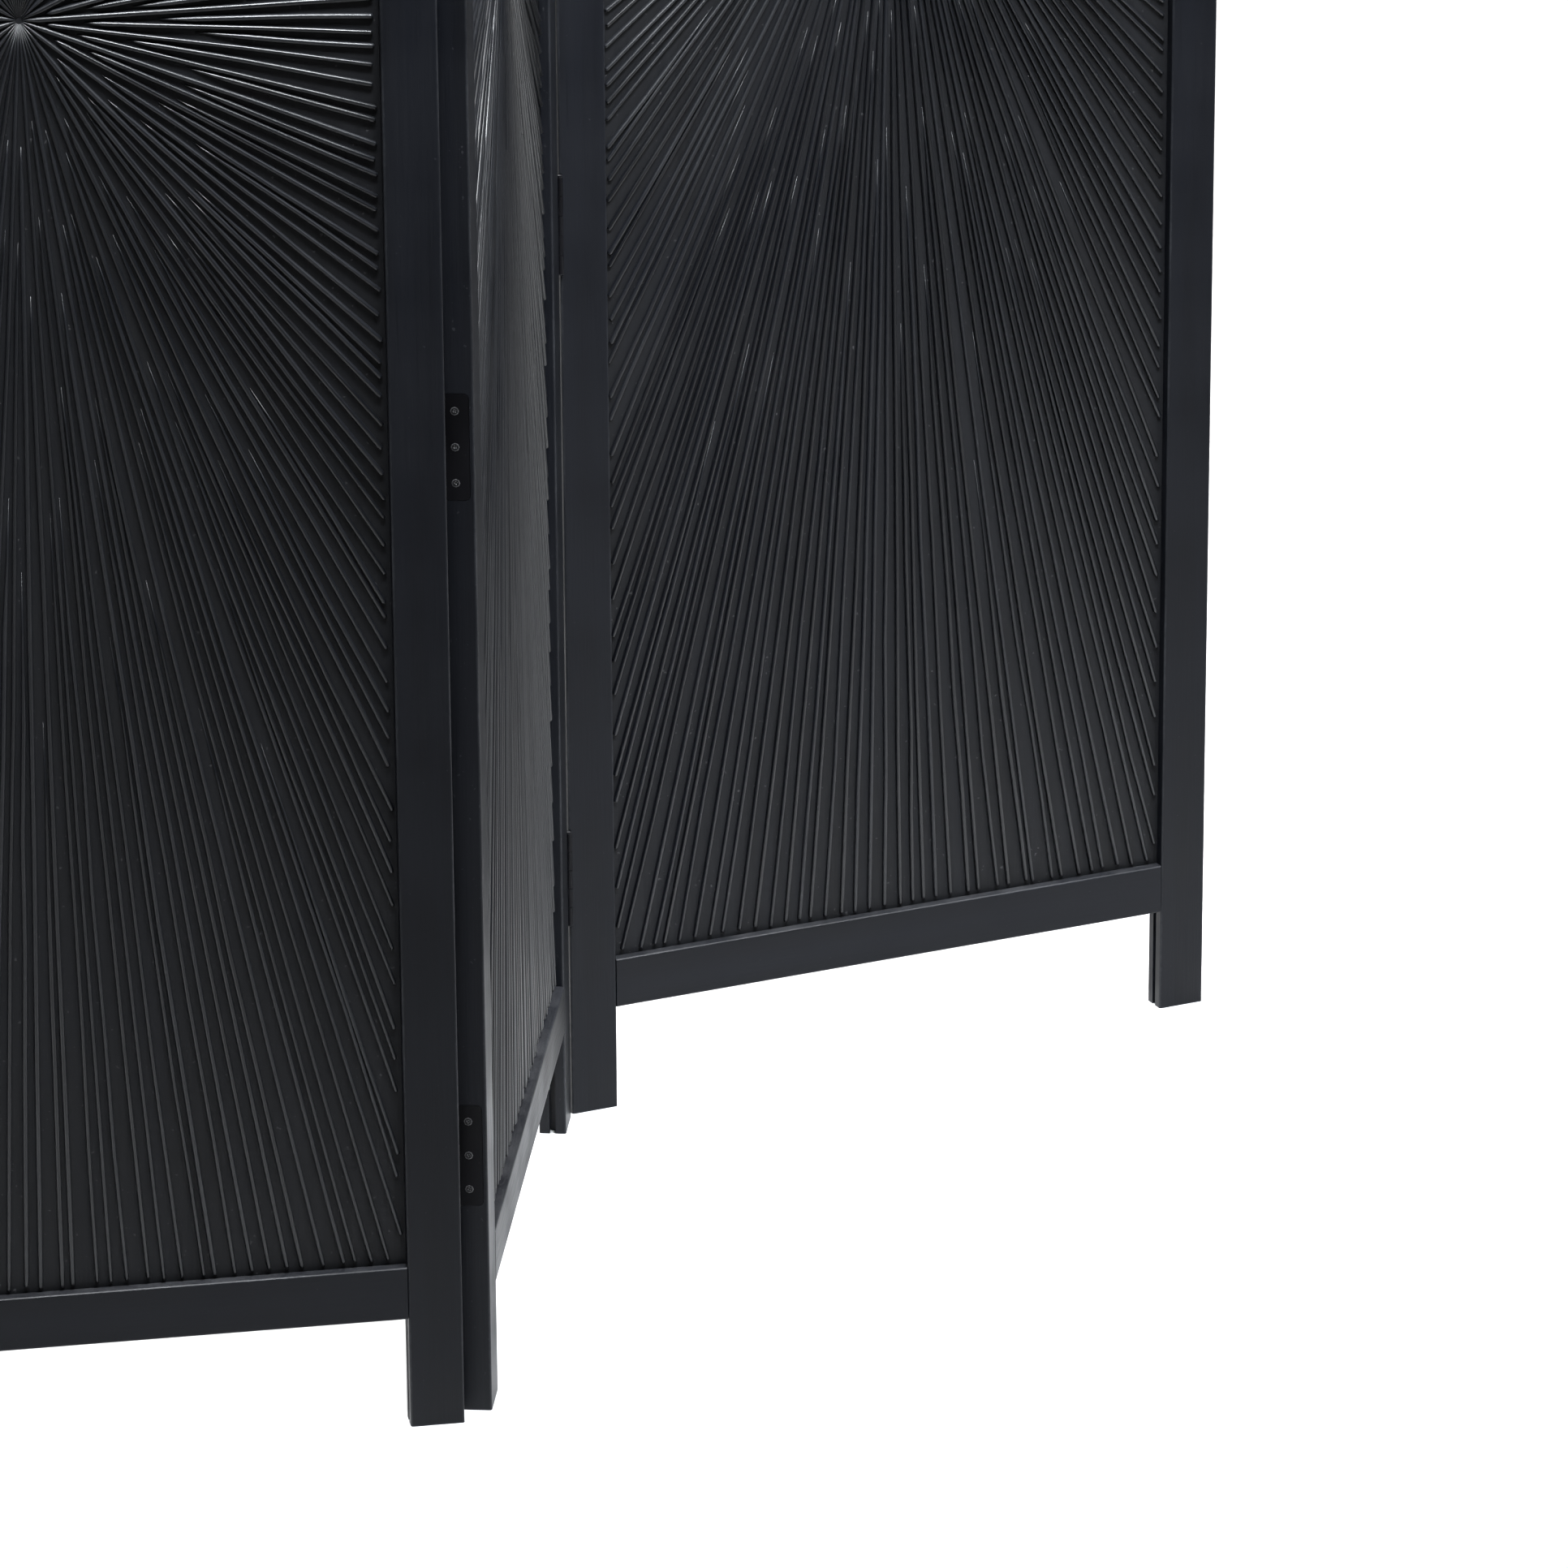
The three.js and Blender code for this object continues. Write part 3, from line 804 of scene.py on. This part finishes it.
@dataclass
class Sunburst:
    """The thin sticks of one panel, all pointing at its middle.

    Sticks are set by their ends round the border. Every second one starts where the gap between its
    neighbours has grown wide enough for it, every fourth one nearer the middle, and so on, and one in
    eight runs all the way in.
    """

    place: PanelPlace
    seed: int
    sticks: int = 264
    doublings: int = 3
    width: float = 2.8 * MM
    rise: float = 2.6 * MM
    squareness: float = 0.75
    close_pitch: float = 7.6 * MM
    wide_pitch: float = 10.8 * MM
    gap_at_full: float = 1.5
    latest_full: float = 0.8
    tip_start: float = 0.78
    hub_start: float = 2.0 * MM
    hub_full: float = 8.0 * MM
    wave_lengths: tuple[float, float] = (0.31, 0.17)
    random: np.random.Generator = field(init=False)

    def __post_init__(self) -> None:
        """Starts this panel's own row of random numbers."""
        self.random = np.random.default_rng(self.seed)

    def reach(self, angle: np.ndarray) -> np.ndarray:
        """How far the border is from the middle in a direction.

        It is the smaller of half the width over the cosine and half the height over the sine.

        Args:
            angle: directions, anticlockwise from the panel's way across.

        Returns:
            The distances.
        """
        sideways = self.place.half_width / np.maximum(np.abs(np.cos(angle)), 1e-6)
        upwards = self.place.half_height / np.maximum(np.abs(np.sin(angle)), 1e-6)
        return np.minimum(sideways, upwards)

    def directions(self) -> np.ndarray:
        """The direction of each stick.

        Sticks per turn is the border's distance over the pitch, which is wide where sticks meet the
        border squarely and close where they slant. The running total of that, read backwards at equal
        steps moved a little at random, gives the directions.

        Returns:
            One angle for each stick, in rising order.
        """
        turn = np.linspace(0.0, 2 * np.pi, 20001)
        reach = self.reach(turn)
        level, steep = np.abs(np.cos(turn)), np.abs(np.sin(turn))
        square = np.maximum(
            np.where(self.place.half_width <= reach * level + 1e-9, level, 0),
            np.where(self.place.half_height <= reach * steep + 1e-9, steep, 0),
        )
        pitch = self.close_pitch + (self.wide_pitch - self.close_pitch) * square**2
        total = np.concatenate([[0.0], np.cumsum((reach / pitch)[:-1] * np.diff(turn))])
        steps = np.arange(self.sticks) + self.random.uniform(-0.26, 0.26, self.sticks)
        return np.interp((steps + 0.5) / self.sticks * total[-1], total, turn)

    def room(self, angle: np.ndarray) -> np.ndarray:
        """The angle from each stick to the nearest stick that starts nearer the middle.

        Args:
            angle: the direction of each stick.

        Returns:
            One angle for each stick.
        """
        number = np.arange(self.sticks)
        halvings = np.minimum(
            np.log2(np.where(number, number & -number, 2**self.doublings)), self.doublings
        ).astype(int)
        step = 2**halvings
        after = (angle[(number + step) % self.sticks] - angle) % (2 * np.pi)
        before = (angle - angle[(number - step) % self.sticks]) % (2 * np.pi)
        return np.minimum(after, before)

    def rings(self, start: np.ndarray, full: np.ndarray, end: np.ndarray) -> tuple[np.ndarray, np.ndarray]:
        """Where each stick's rings lie and how thick it is there.

        A stick swells from a thin low tip until the gap between its neighbours has room for all of it,
        keeps its width, and is rounded off at its end.

        Args:
            start: the distance from the middle at which each stick begins.
            full: the distance at which it has its whole width.
            end: the distance at which it ends.

        Returns:
            For each stick a row of distances and a row of thicknesses from 0 to 1.
        """
        swell = np.array([0.0, 0.45, 1.0])
        rounded = np.array([1.5, 0.4, 0.0]) * MM
        first = start[:, None] + swell * (full - start)[:, None]
        last = end[:, None] - rounded
        share = np.linspace(0.0, 1.0, 6)[None, 1:-1]
        between = first[:, -1:] + (last[:, :1] - first[:, -1:]) * share
        thick = np.array([0.10, 0.55, 1.0, 1.0, 1.0, 1.0, 1.0, 1.0, 0.88, 0.5])
        return np.concatenate([first, between, last], axis=1), np.tile(thick, (self.sticks, 1))

    def outline(
        self, angle: np.ndarray, width: np.ndarray
    ) -> tuple[np.ndarray, np.ndarray, np.ndarray]:
        """Works out each stick's rings and how wide and how high it is at each.

        A stick is whole where the gap between its neighbours is half as wide again as the stick. One
        that runs in is whole near the middle, where it is no wider than its share of the circle, the
        distance times the angle to the next stick, and it lies lower.

        Args:
            angle: the direction of each stick.
            width: each stick's width.

        Returns:
            For each stick a row of distances, of widths from 0 to 1 and of heights from 0 to 1.
        """
        room = self.room(angle)
        full = self.gap_at_full * width / room * self.random.uniform(0.92, 1.12, self.sticks)
        runs_in = np.arange(self.sticks) % 2**self.doublings == 0
        end = self.reach(angle) + self.random.uniform(-0.4, 1.6, self.sticks) * MM
        full = np.minimum(full, self.latest_full * end)
        start = np.where(runs_in, self.hub_start, self.tip_start * full)
        along, thick = self.rings(start, np.maximum(full, self.hub_full), end)
        inner = runs_in[:, None]
        fits = along * room[:, None] * 0.96 / width[:, None]
        thick = np.where(inner, np.minimum(np.maximum(thick, 0.5), np.maximum(fits, 0.08)), thick)
        lift = np.where(inner, np.clip(0.5 + along / (24 * MM), 0.5, 1.0), 1.0) * thick**0.8
        return along, thick, lift

    def wander(self, along: np.ndarray) -> np.ndarray:
        """How far each stick's line strays sideways.

        It is two slow sine waves of the distance, which grow from nothing at the middle.

        Args:
            along: each ring's distance from the middle.

        Returns:
            One distance for each ring.
        """
        phase = self.random.uniform(0, 2 * np.pi, (2, self.sticks, 1))
        swing = self.random.uniform(0.15, 0.55, (2, self.sticks, 1)) * MM
        grows = np.clip(along / 0.16, 0.0, 1.0)
        first, second = self.wave_lengths
        return grows * (
            swing[0] * np.sin(along * 2 * np.pi / first + phase[0])
            + swing[1] * np.sin(along * 2 * np.pi / second + phase[1])
        )

    def build(self, material: bpy.types.Material) -> bpy.types.Object:
        """Makes all sticks of the panel as one piece.

        A stick's section is a flattened half round whose foot is just inside the board: the way
        sideways is half the width times the cosine of the section's angle raised to a power below one,
        and the way out is the rise times its sine raised to the same power.

        Args:
            material: the sticks' paint.

        Returns:
            The piece, which stands for the CAD sunburst.
        """
        angle = self.directions()
        width = self.width * self.random.uniform(0.86, 1.14, self.sticks)
        rise = self.rise * self.random.uniform(0.85, 1.13, self.sticks)
        along, thick, lift = self.outline(angle, width)
        section = np.radians([-20.0, 22.0, 58.0, 90.0, 122.0, 158.0, 200.0])
        flat_cos = np.sign(np.cos(section)) * np.abs(np.cos(section)) ** self.squareness
        flat_sin = np.sign(np.sin(section)) * np.abs(np.sin(section)) ** self.squareness
        half = thick * width[:, None] / 2
        sideways = self.wander(along)[..., None] + half[..., None] * flat_cos
        out = (lift * rise[:, None])[..., None] * flat_sin
        cos, sin = np.cos(angle)[:, None, None], np.sin(angle)[:, None, None]
        far = along[..., None]
        points = self.place.stand(far * cos - sideways * sin, far * sin + sideways * cos, out)
        name = f"{self.place.panel.value}_sunburst_sticks"
        made = mesh_object(name, points, tube_faces(self.sticks, along.shape[1], len(section)))
        self.mark(made, along, width, section)
        made.data.materials.append(material)
        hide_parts(self.place.panel.node("sunburst"))
        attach(made, self.place.panel.body)
        LOG.info("built %s: %d sticks, %d faces", name, self.sticks, len(made.data.polygons))
        return made

    def mark(self, made: bpy.types.Object, along: np.ndarray, width: np.ndarray, section: np.ndarray) -> None:
        """Keeps each corner's place on its stick in the attribute stick_place.

        It is the way round the stick, half the width times the section's angle, the way along it, and
        the stick's own number from 0 to 1.

        Args:
            made: the sticks' object.
            along: each ring's distance from the middle.
            width: each stick's width.
            section: the section's angles.
        """
        shape = (*along.shape, len(section))
        own = self.random.uniform(0.0, 1.0, self.sticks)
        place = np.stack(
            [
                np.broadcast_to(width[:, None, None] / 2 * section, shape),
                np.broadcast_to(along[..., None], shape),
                np.broadcast_to(own[:, None, None], shape),
            ],
            axis=-1,
        )
        kept = made.data.attributes.new("stick_place", "FLOAT_VECTOR", "POINT")
        kept.data.foreach_set("vector", place.astype(np.float32).ravel())


@dataclass
class LeafScrews:
    """The three countersunk cross-head screws of one hinge leaf.

    Their place comes from the leaf and the pin: the leaf runs from the pin's axis across the stile's
    edge, and its outer face stands a little off the axis.
    """

    place: PanelPlace
    leaf: str
    pin: str
    body: str
    inset: float = 7.7 * MM
    face_to_axis: float = 0.4 * MM
    knuckle: float = 4.0 * MM
    spacing: float = 22.0 * MM
    count: int = 3
    head: float = 2.5 * MM
    neck: float = 1.4 * MM
    depth: float = 1.15 * MM
    crown: float = 0.30 * MM
    below_face: float = 0.03 * MM
    arm_half_width: float = 0.36 * MM
    arm_length: float = 1.35 * MM
    arm_depth: float = 0.6 * MM
    lip_half_width: float = 0.62 * MM
    lip_length: float = 1.6 * MM
    sides: int = 24
    seed: int = 5

    RUBBED: ClassVar[str] = "rubbed"

    def seats(self) -> tuple[np.ndarray, np.ndarray]:
        """Finds each screw's place on the leaf.

        Returns:
            One row of x, y, z for each screw, and the direction out of the leaf's face.
        """
        axis = node_points(self.pin)[:, :2]
        axis = (axis.min(axis=0) + axis.max(axis=0)) / 2
        leaf = node_points(self.leaf)
        plate = leaf[np.linalg.norm(leaf[:, :2] - axis, axis=1) > self.knuckle]
        level = np.append(plate[:, :2].mean(axis=0) - axis, 0.0)
        # The leaf lies on the stile's edge, so the panel's way across is its way out, towards the pin.
        across = self.place.front * np.sign(self.place.front @ level)
        outward = -self.place.across * np.sign(self.place.across @ level)
        middle = (leaf[:, 2].min() + leaf[:, 2].max()) / 2
        heights = middle + (np.arange(self.count) - (self.count - 1) / 2) * self.spacing
        centres = np.stack([np.append(axis, z) for z in heights])
        return centres + across * self.inset - outward * self.face_to_axis, outward

    def shape(self) -> tuple[np.ndarray, np.ndarray, np.ndarray, np.ndarray]:
        """Works out the corners of one screw that lies with its head up.

        It is a profile turned round: a crowned top, a thin rim and a cone down to the neck. The top is
        sunk where a point lies within a narrow arm of a cross. Paint is gone from the rim and from the
        lips of the cross.

        Returns:
            The two ways across, the height and how bare each corner is, one row for each ring.
        """
        radii = np.array([0.05, 0.3, 0.55, 0.8, 1.0, 1.3, 1.7, 2.1, 2.4, 2.5]) * MM
        crown = self.crown * (1 - (radii / self.head) ** 2) - self.below_face
        radii = np.append(radii, [self.neck, self.neck * 0.2])
        crown = np.append(crown, [-self.depth + 0.05 * MM, -self.depth])[:, None]
        turn = np.arange(self.sides) * 2 * np.pi / self.sides
        x = radii[:, None] * np.cos(turn)
        y = radii[:, None] * np.sin(turn)
        away, offset = np.hypot(x, y), np.minimum(np.abs(x), np.abs(y))
        arm = (offset < self.arm_half_width) & (away < self.arm_length)
        sunk = np.where(arm & (crown > -0.5 * MM), self.arm_depth * (1 - away / (2.2 * MM)), 0.0)
        rim = np.clip((away - 2.0 * MM) / (0.35 * MM), 0, 1) * (crown > -0.3 * MM)
        lip = (offset < self.lip_half_width) & ~arm & (away < self.lip_length)
        return x, y, crown - sunk, np.maximum(rim, lip)

    def build(self, material: bpy.types.Material) -> bpy.types.Object:
        """Makes the screws as one piece, each turned its own way.

        Args:
            material: the screws' paint.

        Returns:
            The piece.
        """
        centres, outward = self.seats()
        x, y, z, rubbed = self.shape()
        random = np.random.default_rng(self.seed)
        spin = random.uniform(0, 2 * np.pi, self.count)[:, None, None]
        side = np.cross(UPWARD, outward)
        a = x * np.cos(spin) - y * np.sin(spin)
        b = x * np.sin(spin) + y * np.cos(spin)
        points = (
            centres[:, None, None, :]
            + a[..., None] * side
            + b[..., None] * UPWARD
            + np.broadcast_to(z, a.shape)[..., None] * outward
        ).reshape(-1, 3)
        faces = tube_faces(self.count, len(x), self.sides)
        made = mesh_object(f"{self.leaf}_screws", points, [face[::-1] for face in faces])
        kept = made.data.attributes.new(self.RUBBED, "FLOAT", "POINT")
        kept.data.foreach_set("value", np.broadcast_to(rubbed, a.shape).astype(np.float32).ravel())
        made.data.materials.append(material)
        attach(made, self.body)
        return made


@dataclass
class Hinge:
    """One butt hinge: two leaves and a pin from the CAD, and six screws."""

    joint: str
    number: int
    paint: MetalPaint = MetalPaint()
    screw_paint: MetalPaint = MetalPaint(
        colour=(0.004, 0.0042, 0.005),
        bare=(0.26, 0.26, 0.27),
        roughness=0.30,
        specular=0.3,
        chipped=0.7,
        rubbed=LeafScrews.RUBBED,
    )

    def build(self, effects: Effects) -> None:
        """Paints the leaves and the pin and puts in the screws."""
        stem = f"{self.joint}_hinge_{self.number}"
        bodies = ("left_panel", "middle_panel") if self.joint == "left" else ("middle_panel", "right_panel")
        pin = f"{stem}_pin"
        for side, body in zip(("left", "right"), bodies):
            leaf = f"{stem}_{side}_leaf"
            place = PanelPlace.read(Panel(body.removesuffix("_panel")))
            box = BoxPlace.of(node_points(leaf), place.across, place.front)
            dress(leaf, self.paint.material(f"{leaf}_paint", box, effects))
            screws = LeafScrews(place, leaf, pin, body, seed=self.number * 10 + len(side))
            screws.build(self.screw_paint.material(f"{leaf}_screw_paint", box, effects))
        middle = PanelPlace.read(Panel.MIDDLE)
        box = BoxPlace.of(node_points(pin), middle.across, middle.front)
        dress(pin, self.paint.material(f"{pin}_paint", box, effects))
        LOG.info("built %s", stem)


@dataclass(frozen=True)
class Lamp:
    """One soft rectangular lamp, with the angle of its cone of light in degrees."""

    name: str
    place: Triple
    aim: Triple
    size: tuple[float, float]
    watts: float
    spread: float
    tint: Colour = (1.0, 1.0, 1.0)

    def hang(self) -> None:
        """Hangs the lamp so that it faces its aim."""
        data = bpy.data.lights.new(self.name, "AREA")
        data.shape = "RECTANGLE"
        data.size, data.size_y = self.size
        data.energy = self.watts
        data.color = self.tint
        data.spread = math.radians(self.spread)
        made = bpy.data.objects.new(self.name, data)
        made.location = self.place
        made.rotation_mode = "QUATERNION"
        made.rotation_quaternion = (Vector(self.aim) - Vector(self.place)).to_track_quat("-Z", "Y")
        bpy.context.scene.collection.objects.link(made)


COOL: Colour = (0.93, 0.965, 1.0)
# Two strips above the front draw the bright lines on the sticks, one lamp at the side lights the
# middle panel, and the rest light the floor to just over white.
LAMPS = (
    Lamp("strip_left", (0.0, -1.05, 2.7), (-0.15, -0.30, 1.35), (2.0, 0.35), 28.0, 55.0, COOL),
    Lamp("strip_right", (1.1, -0.75, 2.7), (0.65, 0.05, 1.3), (1.8, 0.35), 10.5, 55.0, COOL),
    Lamp("from_right", (3.5, -0.9, 2.4), (0.1, -0.1, 0.7), (0.9, 1.3), 5.0, 90.0, COOL),
    Lamp("over_floor", (0.45, 0.25, 4.4), (0.35, 0.2, 0.0), (5.0, 2.2), 66.0, 76.0),
    Lamp("over_back", (0.5, 1.5, 3.4), (0.6, 1.4, 0.0), (5.0, 1.8), 38.0, 60.0),
    Lamp("behind", (0.9, 3.8, 4.4), (1.0, 3.6, 0.0), (7.0, 3.4), 114.0, 100.0),
    Lamp("behind_left", (-0.55, 1.3, 2.6), (-0.4, 0.35, 0.0), (1.4, 0.6), 13.0, 60.0),
)


@dataclass
class Studio:
    """A pale floor, soft lamps and the camera."""

    floor_size: float = 60.0
    floor_colour: Colour = (0.56, 0.563, 0.57)
    world_strength: float = 0.03
    camera_place: Triple = (-0.66357, -4.59224, 1.97626)
    camera_right: Triple = (0.9828088, -0.18458311, -0.00399361)
    camera_up: Triple = (0.06648212, 0.33363731, 0.94035433)
    camera_ahead: Triple = (0.17224111, 0.92445401, -0.34017316)
    lens: float = 178.98
    sensor: float = 36.0
    lamps: tuple[Lamp, ...] = LAMPS

    def floor(self) -> None:
        """Lays a wide plain floor."""
        half = self.floor_size / 2
        corners = np.array([[-half, -half, 0.0], [half, -half, 0.0], [half, half, 0.0], [-half, half, 0.0]])
        made = mesh_object("floor", corners, [[0, 1, 2, 3]])
        material, _, shader = new_material("floor_paint", 0.1)
        shader.inputs["Base Color"].default_value = (*self.floor_colour, 1.0)
        shader.inputs["Roughness"].default_value = 0.9
        made.data.materials.append(material)

    def sky(self) -> None:
        """Surrounds the screen with even pale light."""
        world = bpy.data.worlds.new("studio")
        bpy.context.scene.world = world
        world.use_nodes = True
        background = world.node_tree.nodes["Background"]
        background.inputs["Color"].default_value = (1.0, 1.0, 1.0, 1.0)
        background.inputs["Strength"].default_value = self.world_strength

    def camera(self) -> None:
        """Sets up the camera without shift or depth of field."""
        data = bpy.data.cameras.new("camera")
        data.lens, data.sensor_width = self.lens, self.sensor
        data.clip_start, data.clip_end = 0.05, 200.0
        made = bpy.data.objects.new("camera", data)
        backwards = tuple(-part for part in self.camera_ahead)
        turned = Matrix((self.camera_right, self.camera_up, backwards)).transposed()
        made.matrix_world = Matrix.Translation(self.camera_place) @ turned.to_4x4()
        bpy.context.scene.collection.objects.link(made)
        bpy.context.scene.camera = made

    def build(self) -> None:
        """Sets up the whole studio."""
        bpy.context.scene.view_settings.view_transform = "Standard"
        self.camera()
        self.floor()
        self.sky()
        for lamp in self.lamps:
            lamp.hang()
        LOG.info("built the studio")


def main() -> None:
    """Builds the studio, then each panel, then the hinges."""
    logging.basicConfig(level=logging.INFO, format="%(name)s: %(message)s")
    Studio().build()
    effects = Effects()
    stick_paint = StickPaint().material("sunburst_paint", effects)
    for seed, panel in enumerate(Panel, start=11):
        place = PanelPlace.read(panel)
        PanelFrame(place).dress(effects)
        BackingBoard(place).dress(effects)
        Sunburst(place, seed).build(stick_paint)
    for joint in ("left", "right"):
        for number in range(1, 5):
            Hinge(joint, number).build(effects)


if __name__ == "__main__":
    main()
